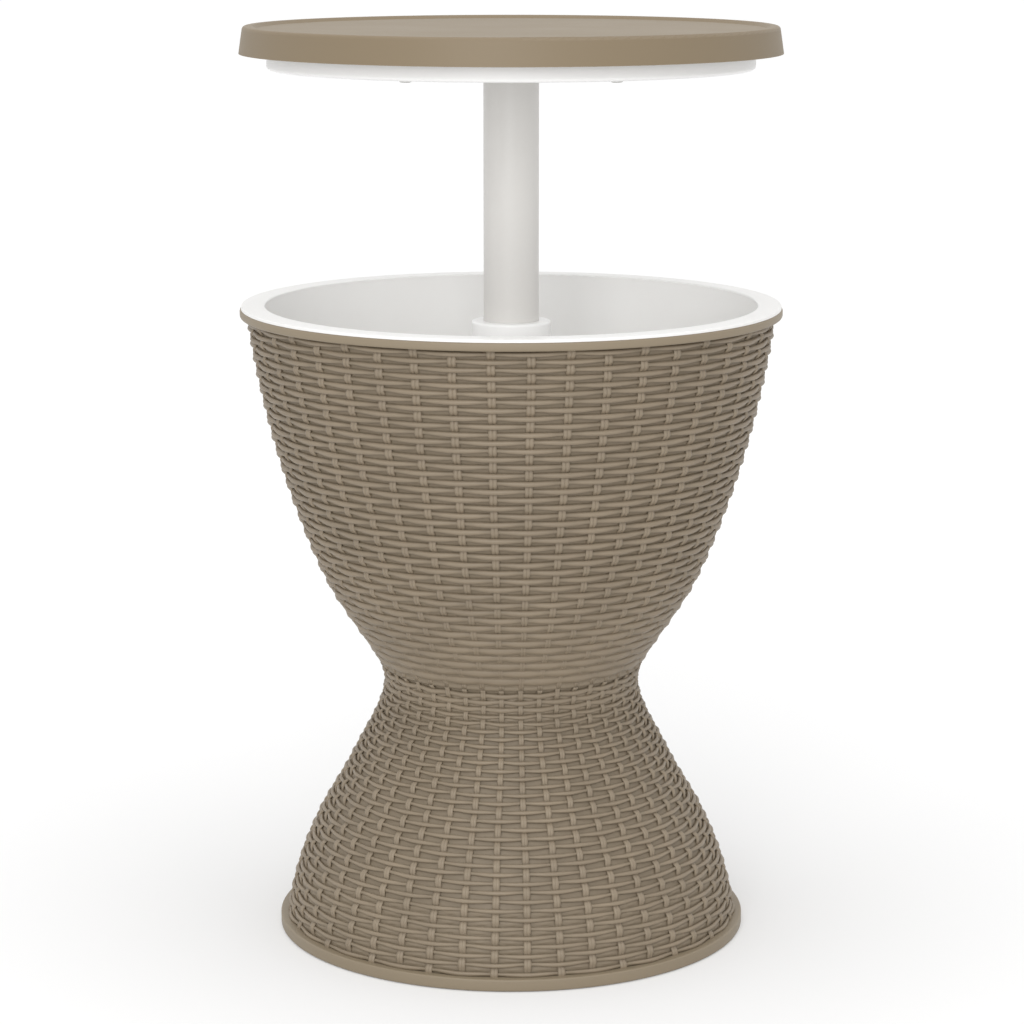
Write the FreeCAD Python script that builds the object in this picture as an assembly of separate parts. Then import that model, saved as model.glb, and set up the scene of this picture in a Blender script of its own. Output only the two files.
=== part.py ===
import FreeCAD, Part
import math
import os

from FreeCAD import Vector

# Patio cooler table: a woven-look body in the shape of an hourglass holds a white ice bucket, and a lid that
# is also the table top slides up and down on a post in the bucket's centre column.
# All sizes are in millimetres. Z is up, and the origin is the centre of the foot on the floor.
# The lid is drawn raised and locked.

# Woven body
FOOT_WALL_R = 194.0
FOOT_OUT = 4.4
FOOT_BAND_H = 10.0
FOOT_EDGE_ROUND = 1.2
WAIST_R = 108.4
WAIST_Z = 208.0
SPLIT_ABOVE_WAIST = 19.0
BOWL_H = 323.0
RIM_WALL_R = 220.3
LIP_OUT = 5.7
LIP_H = 7.0
LIP_LEDGE_T = 4.0
LIP_ROUND = 2.0
BODY_WALL = 3.5

# The flare of each half: share of its height from the waist, share of its growth from the waist
BASE_FLARE = ((1.0, 1.0), (0.84, 0.93), (0.68, 0.805), (0.51, 0.62), (0.35, 0.395), (0.22, 0.23),
              (0.11, 0.085))
BOWL_FLARE = ((0.0, 0.0), (0.067, 0.043), (0.122, 0.132), (0.192, 0.266), (0.262, 0.391), (0.366, 0.53),
              (0.47, 0.644), (0.61, 0.774), (0.75, 0.877), (1.0, 1.0))

# Rows of the moulded weave, each a ridge round the wall. The ridges and grooves are shares of a row's height,
# the rows grow taller downwards by the growth, and a plain land is left at the joint of the halves.
BASE_ROW_COUNT = 34
BASE_ROW_GROWTH = 0.163
BASE_LAND = 3.0
BASE_ROWS_IN_BAND = 1.4
BOWL_ROW_COUNT = 42
BOWL_ROW_GROWTH = 0.092
BOWL_LAND = 3.4
BOWL_ROWS_BELOW_LIP = 0.2
ROW_CREST = 0.15
ROW_GROOVE = 0.27

# Where the two halves meet
DECK_T = 4.0
SHELL_FLOOR_T = 4.0
REGISTER_IN = 8.4
REGISTER_W = 4.0
REGISTER_H = 2.5
REGISTER_PLAY = 0.3
GUSSET_COUNT = 8
GUSSET_ANGLE = 22.5
GUSSET_T = 3.0
GUSSET_FROM_HOLE = 2.0
GUSSET_H = 42.0
WAIST_SCREW_IN = 18.4
WAIST_SCREW_COUNT = 4
WAIST_SCREW_ANGLE = 45.0
NECK_LAND = 8.0

# Ice bucket
AIR_GAP = 8.8
LINER_WALL = 3.0
LINER_FLOOR_T = 3.0
FLANGE_T = 2.5
FLANGE_IN = 1.0
FLANGE_ROUND = 0.9
MOUTH_ROUND = 1.2
FLOOR_CORNER_R = 14.0
COLUMN_WALL = 3.0
COLUMN_FOOT_W = 6.0
COLUMN_FOOT_T = 3.0
COLUMN_ROOT_R = 3.0
COLUMN_BELOW_DECK = 9.0
COLUMN_SPARE = 6.6

# Post, and the clearances that it runs with
POST_R = 23.0
POST_WALL = 3.0
GUIDE_PLAY = 0.3
FIT_PLAY = 0.3
POST_FLANGE_W = 21.0
POST_FLANGE_T = 4.0
POST_SPIGOT_H = 24.0
POST_SPIGOT_WALL = 3.0
POST_SPIGOT_PLAY = 0.1
POST_SCREW_OUT = 11.0
POST_SCREW_COUNT = 4
POST_SCREW_ANGLE = 45.0

# Collar on the column
BUSH_WALL = 3.9
BUSH_LENGTH = 60.0
COLLAR_WALL = 2.3
COLLAR_SKIRT_H = 24.0
COLLAR_TOP_T = 4.0
COLLAR_ROUND = 2.2

# Lid
LID_SEAT_GAP = 0.3
LID_IN = 2.3
LID_TAPER = 3.3
LID_H = 22.2
LID_WALL = 3.0
LID_CORNER_R = 3.0
LID_RIM_W = 7.9
SERVING_DEPTH = 2.5
SERVING_SLOPE_W = 3.0
LID_RIB_COUNT = 12
LID_RIB_T = 2.5
LID_RIB_H = 7.0
LID_RIB_END_GAP = 6.0

# Plug under the lid
PLUG_PLAY = 4.0
PLUG_DROP = 13.1
PLUG_WALL = 2.5
PLUG_CORNER_R = 3.0
LID_SCREW_IN = 36.0
LID_SCREW_COUNT = 6
RING_LIP_T = 0.8
RING_LIP_W = 7.0
RING_NECK_H = 6.0
RING_NECK_T = 2.3
RING_OVER_COLLAR = 0.9

# Twist lock at the post's lower end
RAIL_COUNT = 3
RAIL_W = 4.0
RAIL_H = 2.0
STOP_GAP = 0.3
CAM_SHOULDER_T = 3.0
CAM_SPIGOT_H = 18.0
CAM_SPIGOT_PLAY = 0.1
CAM_IN = 2.0
CAM_LOBE_H = 1.2
CAM_LOBE_R = 8.0
CAM_PIN_R = 2.0
CAM_PIN_UP = 9.0
CAM_PIN_IN = 0.2
SLEEVE_H = 26.0
SLEEVE_RING_H = 6.0
SLEEVE_POCKET_DEPTH = 1.2
WASHER_OUT = 2.5
WASHER_T = 2.0

# Screws, all of one thickness: shank radius, head radius and height, hexagon key across flats
SCREW_R = 2.4
SCREW_HEAD_R = 4.8
SCREW_HEAD_H = 3.0
SCREW_HEAD_ROUND = 1.0
SCREW_KEY = 3.0
SCREW_KEY_DEPTH = 1.8
SCREW_HOLE_PLAY = 0.3
SCREW_PILOT_PLAY = 0.1
SCREW_BITE = 8.0
PILOT_SPARE = 1.0
BOSS_WALL = 3.5

# Drain in the bucket's floor
DRAIN_FROM_COLUMN = 31.5
DRAIN_BORE_R = 9.0
DRAIN_WALL = 3.0
DRAIN_FLANGE_W = 9.0
DRAIN_FLANGE_T = 2.2
DRAIN_GASKET_T = 0.8
DRAIN_WELL_PLAY = 3.0
DRAIN_SUNK = 1.0
DRAIN_BELOW_DECK = 21.0
DRAIN_HOLE_PLAY = 0.5
NUT_WALL = 5.0
NUT_T = 4.0
NUT_ROOM = 1.0
NUT_PLAY = 0.1
STOPPER_PLAY = 0.3
STOPPER_H = 16.0
STOPPER_TIP_H = 3.0
STOPPER_TIP_IN = 1.2
STOPPER_HEAD_W = 5.0
STOPPER_HEAD_T = 3.0
STOPPER_SEAT_GAP = 0.1
TAB_W = 15.0
TAB_T = 5.0
TAB_H = 14.0
TAB_HOLE_R = 4.0

# Radii that follow from the sizes above
FOOT_R = FOOT_WALL_R + FOOT_OUT
LIP_R = RIM_WALL_R + LIP_OUT
FLANGE_R = LIP_R - FLANGE_IN
LINER_INSET = BODY_WALL + AIR_GAP + LINER_WALL
MOUTH_R = RIM_WALL_R - LINER_INSET
PLUG_R = MOUTH_R - PLUG_PLAY
LID_SKIRT_R = LIP_R - LID_IN
LID_TOP_R = LID_SKIRT_R - LID_TAPER
SERVING_R = LID_TOP_R - LID_RIM_W
LID_SCREW_RING_R = PLUG_R - LID_SCREW_IN

POST_HOLE_R = POST_R + GUIDE_PLAY
POST_FLANGE_R = POST_R + POST_FLANGE_W
POST_SCREW_RING_R = POST_R + POST_SCREW_OUT
RING_NECK_R = POST_HOLE_R + RING_NECK_T
BUSH_R = POST_HOLE_R + BUSH_WALL
COLUMN_BORE_R = BUSH_R + FIT_PLAY
COLUMN_R = COLUMN_BORE_R + COLUMN_WALL
COLLAR_BORE_R = COLUMN_R + FIT_PLAY
COLLAR_R = COLLAR_BORE_R + COLLAR_WALL
COLUMN_FOOT_R = COLUMN_R + COLUMN_FOOT_W
REGISTER_R = WAIST_R - REGISTER_IN
WAIST_SCREW_RING_R = WAIST_R - WAIST_SCREW_IN
NECK_R = WAIST_SCREW_RING_R - NECK_LAND
GUSSET_INNER_R = NECK_R + GUSSET_FROM_HOLE

SCREW_HOLE_R = SCREW_R + SCREW_HOLE_PLAY
SCREW_PILOT_R = SCREW_R + SCREW_PILOT_PLAY
BOSS_R = SCREW_PILOT_R + BOSS_WALL
CAM_REACH = POST_R - CAM_IN
CAM_CORE_R = CAM_REACH - CAM_LOBE_H
CAM_LOBE_OFFSET = CAM_REACH - CAM_LOBE_R
SLEEVE_BORE_R = CAM_REACH + GUIDE_PLAY
WASHER_R = CAM_REACH + WASHER_OUT
LOBE_STEP = 360.0 / RAIL_COUNT

DRAIN_X = COLUMN_R + DRAIN_FROM_COLUMN
DRAIN_BARREL_R = DRAIN_BORE_R + DRAIN_WALL
DRAIN_FLANGE_R = DRAIN_BARREL_R + DRAIN_FLANGE_W
DRAIN_WELL_R = DRAIN_FLANGE_R + DRAIN_WELL_PLAY
DRAIN_HOLE_R = DRAIN_BARREL_R + DRAIN_HOLE_PLAY
NUT_FLATS = 2 * (DRAIN_BARREL_R + NUT_WALL)
STOPPER_HEAD_R = DRAIN_BORE_R + STOPPER_HEAD_W

# Heights that follow from the sizes above
RIM_Z = WAIST_Z + BOWL_H
FLANGE_TOP = RIM_Z + FLANGE_T
SPLIT_Z = WAIST_Z + SPLIT_ABOVE_WAIST
DECK_BOTTOM = SPLIT_Z - DECK_T
SHELL_FLOOR_TOP = SPLIT_Z + SHELL_FLOOR_T
DRAIN_WELL_DEPTH = DRAIN_GASKET_T + DRAIN_FLANGE_T + DRAIN_SUNK
WELL_BOTTOM = SHELL_FLOOR_TOP + NUT_ROOM + NUT_T
WELL_FLOOR = WELL_BOTTOM + LINER_FLOOR_T
LINER_FLOOR = WELL_FLOOR + DRAIN_WELL_DEPTH
LINER_BOTTOM = LINER_FLOOR - LINER_FLOOR_T
SPOUT_TOP = LINER_FLOOR - DRAIN_SUNK
SPOUT_BOTTOM = DECK_BOTTOM - DRAIN_BELOW_DECK

CLOSED_LID_BOTTOM = FLANGE_TOP + LID_SEAT_GAP
COLLAR_TOP = CLOSED_LID_BOTTOM - PLUG_DROP - RING_LIP_T - RING_OVER_COLLAR
COLUMN_TOP = COLLAR_TOP - COLLAR_TOP_T
BUSH_BOTTOM = COLLAR_TOP - BUSH_LENGTH
SLEEVE_TOP = BUSH_BOTTOM - STOP_GAP
SLEEVE_BOTTOM = SLEEVE_TOP - SLEEVE_H
JOURNAL_TOP = SLEEVE_TOP + STOP_GAP
JOURNAL_BOTTOM = SLEEVE_BOTTOM - STOP_GAP
POST_BOTTOM = JOURNAL_TOP + CAM_SHOULDER_T
WASHER_BOTTOM = JOURNAL_BOTTOM - WASHER_T
CAM_SCREW_BOTTOM = WASHER_BOTTOM - SCREW_HEAD_H
COLUMN_BOTTOM = DECK_BOTTOM - COLUMN_BELOW_DECK

# The lid rises by what the lock can travel in the column
LIFT = CAM_SCREW_BOTTOM - COLUMN_SPARE - COLUMN_BOTTOM
LID_BOTTOM = CLOSED_LID_BOTTOM + LIFT
LID_TOP = LID_BOTTOM + LID_H
SERVING_FLOOR = LID_TOP - SERVING_DEPTH
LID_UNDERSIDE = SERVING_FLOOR - LID_WALL
PLUG_BOTTOM = LID_BOTTOM - PLUG_DROP
PLUG_FLOOR = PLUG_BOTTOM + PLUG_WALL
POST_TOP = LID_UNDERSIDE - SCREW_BITE - PILOT_SPARE
POST_FLANGE_BOTTOM = POST_TOP - POST_FLANGE_T

# How near a circle has to be to the one that is looked for
NEAR = 0.01
# Halvings that find a height on the wall line
HALVINGS = 60

UP = Vector(0, 0, 1)
ORIGIN = Vector(0, 0, 0)


def rod(radius, z_low, z_high, x=0.0, y=0.0):
    """Upright cylinder between two heights."""
    return Part.makeCylinder(radius, z_high - z_low, Vector(x, y, z_low))


def ring(outer, inner, z_low, z_high, x=0.0, y=0.0):
    """Upright tube between two heights."""
    return rod(outer, z_low, z_high, x, y).cut(rod(inner, z_low, z_high, x, y))


def box(x_low, x_high, y_low, y_high, z_low, z_high):
    """Block between two corners."""
    return Part.makeBox(x_high - x_low, y_high - y_low, z_high - z_low, Vector(x_low, y_low, z_low))


def turned(points):
    """Solid turned about the Z axis from a closed outline of (radius, height) points."""
    corners = [Vector(radius, 0, z) for radius, z in points]
    outline = Part.makePolygon(corners + [corners[0]])
    return Part.Face(outline).revolve(ORIGIN, UP, 360)


def around(count, first_angle=0.0):
    """Equally spaced angles, in degrees."""
    return [first_angle + 360.0 * step / count for step in range(count)]


def polar(radius, angle):
    """X and Y of a point at a radius and an angle."""
    return radius * math.cos(math.radians(angle)), radius * math.sin(math.radians(angle))


def spun(shape, angle):
    """Copy of a shape, turned about the Z axis."""
    copy = shape.copy()
    copy.rotate(ORIGIN, UP, angle)
    return copy


def hexagon(flats, z_low, z_high, x=0.0, y=0.0):
    """Upright hexagonal bar, by its size across flats."""
    corner_r = flats / math.sqrt(3.0)
    corners = []
    for angle in around(6):
        corner_x, corner_y = polar(corner_r, angle)
        corners.append(Vector(x + corner_x, y + corner_y, z_low))
    outline = Part.makePolygon(corners + [corners[0]])
    return Part.Face(outline).extrude(Vector(0, 0, z_high - z_low))


def rounded(shape, radius, circle_r, z):
    """Shape with its circular edges of one radius and height, centred on the Z axis, rounded over."""
    edges = []
    for edge in shape.Edges:
        if not isinstance(edge.Curve, Part.Circle):
            continue
        centre = edge.Curve.Center
        off_axis = math.hypot(centre.x, centre.y)
        if off_axis < NEAR and abs(centre.z - z) < NEAR and abs(edge.Curve.Radius - circle_r) < NEAR:
            edges.append(edge)
    return shape.makeFillet(radius, edges)


def joined(shapes):
    """One solid made of several that touch."""
    whole = shapes[0].fuse(shapes[1:])
    return whole.removeSplitter()


def screw_up(length, x, y, seat_z):
    """Screw driven upwards: its head hangs under the seat height and its shank rises from it."""
    head = rod(SCREW_HEAD_R, seat_z - SCREW_HEAD_H, seat_z)
    head = rounded(head, SCREW_HEAD_ROUND, SCREW_HEAD_R, seat_z - SCREW_HEAD_H)
    body = joined([head, rod(SCREW_R, seat_z - SCREW_HEAD_H / 2, seat_z + length)])
    key = hexagon(SCREW_KEY, seat_z - SCREW_HEAD_H, seat_z - SCREW_HEAD_H + SCREW_KEY_DEPTH)
    body = body.cut(key)
    body.translate(Vector(x, y, 0))
    return body


# The wall line of the whole body: one smooth curve from the floor through the waist to the rim
def wall_stations():
    """Radius and height of each point that the wall line passes through."""
    stations = []
    for down, share in BASE_FLARE:
        stations.append((WAIST_R + share * (FOOT_WALL_R - WAIST_R), WAIST_Z * (1.0 - down)))
    for up, share in BOWL_FLARE:
        stations.append((WAIST_R + share * (RIM_WALL_R - WAIST_R), WAIST_Z + up * BOWL_H))
    return stations


def wall_curve(inset):
    """The wall line, moved towards the axis."""
    curve = Part.BSplineCurve()
    curve.interpolate([Vector(radius - inset, 0, z) for radius, z in wall_stations()])
    return curve


def parameter_at(curve, z):
    """Where a rising curve reaches a height."""
    low = curve.FirstParameter
    high = curve.LastParameter
    for step in range(HALVINGS):
        middle = (low + high) / 2
        if curve.value(middle).z < z:
            low = middle
        else:
            high = middle
    return low


def inside_wall(inset, z_low, z_high):
    """Solid that fills the wall line, less an inset, between two heights."""
    curve = wall_curve(inset)
    curve.segment(parameter_at(curve, z_low), parameter_at(curve, z_high))
    bottom = curve.value(curve.FirstParameter)
    top = curve.value(curve.LastParameter)
    axis_bottom = Vector(0, 0, bottom.z)
    axis_top = Vector(0, 0, top.z)
    edges = [curve.toShape(), Part.makeLine(top, axis_top), Part.makeLine(axis_top, axis_bottom),
             Part.makeLine(axis_bottom, bottom)]
    return Part.Face(Part.Wire(edges)).revolve(ORIGIN, UP, 360)


def wall_radius(inset, z):
    """Radius of the wall line, less an inset, at a height."""
    curve = wall_curve(inset)
    return curve.value(parameter_at(curve, z)).x


def woven_outside(z_low, z_high, rows_low, rows_high, count, growth):
    """Solid that fills the body's outside between two heights, with a rounded ridge for each row."""
    curve = wall_curve(0)
    grooves = []
    crests = []
    for step in range(2 * count + 1):
        share = step / (2 * count)
        z = rows_high - (rows_high - rows_low) * share * (1.0 - growth + growth * share)
        row_h = (rows_high - rows_low) / count * (1.0 - growth + 2 * growth * share)
        place = parameter_at(curve, z)
        if step % 2:
            along = curve.tangent(place)[0]
            crests.append(curve.value(place) + Vector(along.z, 0, -along.x) * ROW_CREST * row_h)
        else:
            grooves.append(curve.value(place) - Vector(ROW_GROOVE * row_h, 0, 0))
    axis_bottom = Vector(0, 0, z_low)
    axis_top = Vector(0, 0, z_high)
    top = Vector(grooves[0].x, 0, z_high)
    bottom = Vector(grooves[-1].x, 0, z_low)
    edges = [Part.makeLine(top, grooves[0])]
    for above, crest, below in zip(grooves, crests, grooves[1:]):
        edges.append(Part.Arc(above, crest, below).toShape())
    edges += [Part.makeLine(grooves[-1], bottom), Part.makeLine(bottom, axis_bottom),
              Part.makeLine(axis_bottom, axis_top), Part.makeLine(axis_top, top)]
    return Part.Face(Part.Wire(edges)).revolve(ORIGIN, UP, 360)


def waist_screw_places():
    return [polar(WAIST_SCREW_RING_R, angle) for angle in around(WAIST_SCREW_COUNT, WAIST_SCREW_ANGLE)]


def lid_screw_places():
    return [polar(LID_SCREW_RING_R, angle) for angle in around(LID_SCREW_COUNT)]


def post_screw_places():
    return [polar(POST_SCREW_RING_R, angle) for angle in around(POST_SCREW_COUNT, POST_SCREW_ANGLE)]


# Flared base, open underneath, with a deck round its neck that the upper shell stands on
def base_shell():
    outside = woven_outside(0, SPLIT_Z, FOOT_BAND_H - BASE_ROWS_IN_BAND, SPLIT_Z - BASE_LAND,
                            BASE_ROW_COUNT, BASE_ROW_GROWTH)
    band = rod(FOOT_R, 0, FOOT_BAND_H)
    band = rounded(band, FOOT_EDGE_ROUND, FOOT_R, FOOT_BAND_H)
    band = rounded(band, FOOT_EDGE_ROUND, FOOT_R, 0)
    hollow = inside_wall(BODY_WALL, 0, DECK_BOTTOM)
    gussets = [spun(gusset(), angle) for angle in around(GUSSET_COUNT, GUSSET_ANGLE)]
    fitted = Part.makeCompound(gussets).common(hollow)
    shell = outside.fuse(band).cut(hollow)
    register = ring(REGISTER_R, REGISTER_R - REGISTER_W, SPLIT_Z, SPLIT_Z + REGISTER_H)
    shell = joined([shell, register] + fitted.Solids)
    shell = shell.cut(rod(NECK_R, DECK_BOTTOM, SPLIT_Z + REGISTER_H))
    shell = shell.cut(rod(DRAIN_HOLE_R, DECK_BOTTOM, SPLIT_Z + REGISTER_H, DRAIN_X))
    for x, y in waist_screw_places():
        shell = shell.cut(rod(SCREW_HOLE_R, DECK_BOTTOM, SPLIT_Z + REGISTER_H, x, y))
    return shell


def gusset():
    """Triangular web from the deck's underside to the wall, and past it, to be trimmed."""
    reach = wall_radius(0, DECK_BOTTOM - GUSSET_H)
    corners = [(GUSSET_INNER_R, DECK_BOTTOM), (reach, DECK_BOTTOM), (reach, DECK_BOTTOM - GUSSET_H),
               (wall_radius(BODY_WALL, DECK_BOTTOM - GUSSET_H), DECK_BOTTOM - GUSSET_H)]
    points = [Vector(radius, -GUSSET_T / 2, z) for radius, z in corners]
    outline = Part.makePolygon(points + [points[0]])
    return Part.Face(outline).extrude(Vector(0, GUSSET_T, 0))


# Bowl-shaped upper shell, with a floor round its neck that stands on the base's deck, and a lip that carries
# the bucket
def upper_shell():
    outside = woven_outside(SPLIT_Z, RIM_Z, SPLIT_Z + BOWL_LAND, RIM_Z - LIP_H - BOWL_ROWS_BELOW_LIP,
                            BOWL_ROW_COUNT, BOWL_ROW_GROWTH)
    hollow = inside_wall(BODY_WALL, SHELL_FLOOR_TOP, RIM_Z - LIP_LEDGE_T)
    mouth = rod(MOUTH_R + LINER_WALL + FIT_PLAY, RIM_Z - LIP_LEDGE_T, RIM_Z)
    lip = rod(LIP_R, RIM_Z - LIP_H, RIM_Z)
    lip = rounded(lip, LIP_ROUND, LIP_R, RIM_Z)
    lip = rounded(lip, LIP_ROUND, LIP_R, RIM_Z - LIP_H)
    shell = outside.fuse(lip).cut(hollow).cut(mouth)
    groove = ring(REGISTER_R + REGISTER_PLAY, REGISTER_R - REGISTER_W - REGISTER_PLAY,
                  SPLIT_Z, SPLIT_Z + REGISTER_H + REGISTER_PLAY)
    shell = shell.cut(groove)
    shell = shell.cut(rod(NECK_R, SPLIT_Z, SHELL_FLOOR_TOP))
    shell = shell.cut(rod(DRAIN_HOLE_R, SPLIT_Z, SHELL_FLOOR_TOP, DRAIN_X))
    for x, y in waist_screw_places():
        shell = shell.cut(rod(SCREW_HOLE_R, SPLIT_Z, SHELL_FLOOR_TOP, x, y))
    return shell.removeSplitter()


# White bucket: tapered wall, flange on the shell's lip, floor with a drain well and a hole for the column
def bucket_liner():
    tub = inside_wall(LINER_INSET - LINER_WALL, LINER_BOTTOM, RIM_Z)
    tub = rounded(tub, FLOOR_CORNER_R, wall_radius(LINER_INSET - LINER_WALL, LINER_BOTTOM), LINER_BOTTOM)
    hollow = inside_wall(LINER_INSET, LINER_FLOOR, RIM_Z)
    corner_r = FLOOR_CORNER_R - LINER_FLOOR_T
    hollow = rounded(hollow, corner_r, wall_radius(LINER_INSET, LINER_FLOOR), LINER_FLOOR)
    flange = rod(FLANGE_R, RIM_Z, FLANGE_TOP)
    flange = rounded(flange, FLANGE_ROUND, FLANGE_R, FLANGE_TOP)
    solids = [tub, flange, drain_well_outside()]
    for x, y in waist_screw_places():
        solids.append(rod(BOSS_R, SHELL_FLOOR_TOP, LINER_BOTTOM + LINER_FLOOR_T / 2, x, y))
    liner = joined(solids)
    liner = liner.cut(hollow).cut(rod(MOUTH_R, RIM_Z, FLANGE_TOP))
    liner = rounded(liner, MOUTH_ROUND, MOUTH_R, FLANGE_TOP)
    liner = liner.cut(rod(DRAIN_WELL_R, WELL_FLOOR, LINER_FLOOR, DRAIN_X))
    liner = liner.cut(rod(DRAIN_HOLE_R, WELL_BOTTOM, WELL_FLOOR, DRAIN_X))
    liner = liner.cut(rod(COLUMN_R + FIT_PLAY, WELL_BOTTOM, LINER_FLOOR))
    for x, y in waist_screw_places():
        liner = liner.cut(rod(SCREW_PILOT_R, SHELL_FLOOR_TOP, LINER_BOTTOM, x, y))
    return liner


def drain_well_outside():
    """Underside of the well in the bucket's floor."""
    return rod(DRAIN_WELL_R + LINER_WALL, WELL_BOTTOM, LINER_FLOOR, DRAIN_X)


# White column: a tube with rails in its bore, whose foot is welded watertight to the bucket's floor
def guide_column():
    foot_top = LINER_FLOOR + COLUMN_FOOT_T
    tube = turned([(COLUMN_BORE_R, COLUMN_BOTTOM), (COLUMN_R, COLUMN_BOTTOM), (COLUMN_R, LINER_FLOOR),
                   (COLUMN_FOOT_R, LINER_FLOOR), (COLUMN_FOOT_R, foot_top), (COLUMN_R, foot_top),
                   (COLUMN_R, COLUMN_TOP), (COLUMN_BORE_R, COLUMN_TOP)])
    tube = rounded(tube, COLUMN_ROOT_R, COLUMN_R, foot_top)
    return joined([tube] + [spun(rail(), angle) for angle in around(RAIL_COUNT)])


def rail():
    """Rail in the column's bore, which stops the lock sleeve from turning."""
    inner = COLUMN_BORE_R - RAIL_H
    return box(inner, COLUMN_BORE_R + COLUMN_WALL / 2, -RAIL_W / 2, RAIL_W / 2, COLUMN_BOTTOM, BUSH_BOTTOM)


# Cap on the column, in one piece with the long bushing that guides the post
def column_collar():
    skirt_bottom = COLLAR_TOP - COLLAR_SKIRT_H
    cap = turned([(POST_HOLE_R, COLLAR_TOP), (COLLAR_R, COLLAR_TOP), (COLLAR_R, skirt_bottom),
                  (COLLAR_BORE_R, skirt_bottom), (COLLAR_BORE_R, COLUMN_TOP), (BUSH_R, COLUMN_TOP),
                  (BUSH_R, BUSH_BOTTOM), (POST_HOLE_R, BUSH_BOTTOM)])
    return rounded(cap, COLLAR_ROUND, COLLAR_R, COLLAR_TOP)


# Four screws, up through the base's deck and the shell's floor into the bucket's bosses
def waist_screws():
    length = LINER_BOTTOM - PILOT_SPARE - DECK_BOTTOM
    return Part.makeCompound([screw_up(length, x, y, DECK_BOTTOM) for x, y in waist_screw_places()])


# Round table top: recessed serving face, tapered skirt, ribs and screw bosses underneath
def table_top():
    taper = (LID_SKIRT_R - LID_TOP_R) / LID_H
    outside = turned([(0, LID_BOTTOM), (LID_SKIRT_R, LID_BOTTOM), (LID_TOP_R, LID_TOP), (0, LID_TOP)])
    outside = rounded(outside, LID_CORNER_R, LID_TOP_R, LID_TOP)
    serving = turned([(0, SERVING_FLOOR), (SERVING_R - SERVING_SLOPE_W, SERVING_FLOOR), (SERVING_R, LID_TOP),
                      (0, LID_TOP)])
    inner_top_r = LID_SKIRT_R - LID_WALL - taper * (LID_UNDERSIDE - LID_BOTTOM)
    inside = turned([(0, LID_BOTTOM), (LID_SKIRT_R - LID_WALL, LID_BOTTOM), (inner_top_r, LID_UNDERSIDE),
                     (0, LID_UNDERSIDE)])
    top = outside.cut(inside).cut(serving)
    rib_top = LID_UNDERSIDE + LID_WALL / 2
    rib = box(POST_FLANGE_R + LID_RIB_END_GAP, PLUG_R - PLUG_WALL - LID_RIB_END_GAP, -LID_RIB_T / 2,
              LID_RIB_T / 2, LID_UNDERSIDE - LID_RIB_H, rib_top)
    solids = [top] + [spun(rib, angle) for angle in around(LID_RIB_COUNT)]
    for x, y in lid_screw_places():
        solids.append(rod(BOSS_R, PLUG_FLOOR, rib_top, x, y))
    for x, y in post_screw_places():
        solids.append(rod(BOSS_R, POST_TOP, rib_top, x, y))
    top = joined(solids)
    for x, y in lid_screw_places():
        top = top.cut(rod(SCREW_PILOT_R, PLUG_FLOOR, PLUG_FLOOR + SCREW_BITE + PILOT_SPARE, x, y))
    for x, y in post_screw_places():
        top = top.cut(rod(SCREW_PILOT_R, POST_TOP, LID_UNDERSIDE, x, y))
    return top


# White pan under the table top: the insulating plug that dips into the bucket's mouth
def lid_liner():
    pan = rod(PLUG_R, PLUG_BOTTOM, LID_UNDERSIDE)
    pan = rounded(pan, PLUG_CORNER_R, PLUG_R, PLUG_BOTTOM)
    pan = pan.cut(rod(PLUG_R - PLUG_WALL, PLUG_FLOOR, LID_UNDERSIDE))
    pan = pan.cut(rod(RING_NECK_R + FIT_PLAY, PLUG_BOTTOM, PLUG_FLOOR))
    for x, y in lid_screw_places():
        pan = pan.cut(rod(SCREW_HOLE_R, PLUG_BOTTOM, PLUG_FLOOR, x, y))
    return pan


# Six screws, up through the plug into the table top's bosses
def lid_screws():
    length = PLUG_WALL + SCREW_BITE
    return Part.makeCompound([screw_up(length, x, y, PLUG_BOTTOM) for x, y in lid_screw_places()])


# Post: a plain tube with a cross hole for the cam's pin
def lift_post():
    tube = ring(POST_R, POST_R - POST_WALL, POST_BOTTOM, POST_FLANGE_BOTTOM)
    return tube.cut(cross_rod(CAM_PIN_R, POST_R))


def cross_rod(radius, half_length):
    """Level cylinder across the post at the height of the cam's pin."""
    z = POST_BOTTOM + CAM_PIN_UP
    return Part.makeCylinder(radius, 2 * half_length, Vector(-half_length, 0, z), Vector(1, 0, 0))


# Round flange glued into the post's upper end by its hollow spigot
def post_flange():
    spigot_r = POST_R - POST_WALL - POST_SPIGOT_PLAY
    spigot_bottom = POST_FLANGE_BOTTOM - POST_SPIGOT_H
    flange = joined([rod(POST_FLANGE_R, POST_FLANGE_BOTTOM, POST_TOP),
                     rod(spigot_r, spigot_bottom, POST_FLANGE_BOTTOM)])
    flange = flange.cut(rod(spigot_r - POST_SPIGOT_WALL, spigot_bottom, POST_TOP))
    for x, y in post_screw_places():
        flange = flange.cut(rod(SCREW_HOLE_R, POST_FLANGE_BOTTOM, POST_TOP, x, y))
    return flange


# Trim ring that closes the plug's centre hole round the post
def post_ring():
    lip_bottom = PLUG_BOTTOM - RING_LIP_T
    lip = ring(POST_HOLE_R + RING_LIP_W, POST_HOLE_R, lip_bottom, PLUG_BOTTOM)
    return joined([lip, ring(RING_NECK_R, POST_HOLE_R, PLUG_BOTTOM, PLUG_BOTTOM + RING_NECK_H)])


# Four screws, up through the flange into the table top's inner bosses
def post_screws():
    length = POST_FLANGE_T + SCREW_BITE
    return Part.makeCompound([screw_up(length, x, y, POST_FLANGE_BOTTOM) for x, y in post_screw_places()])


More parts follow.
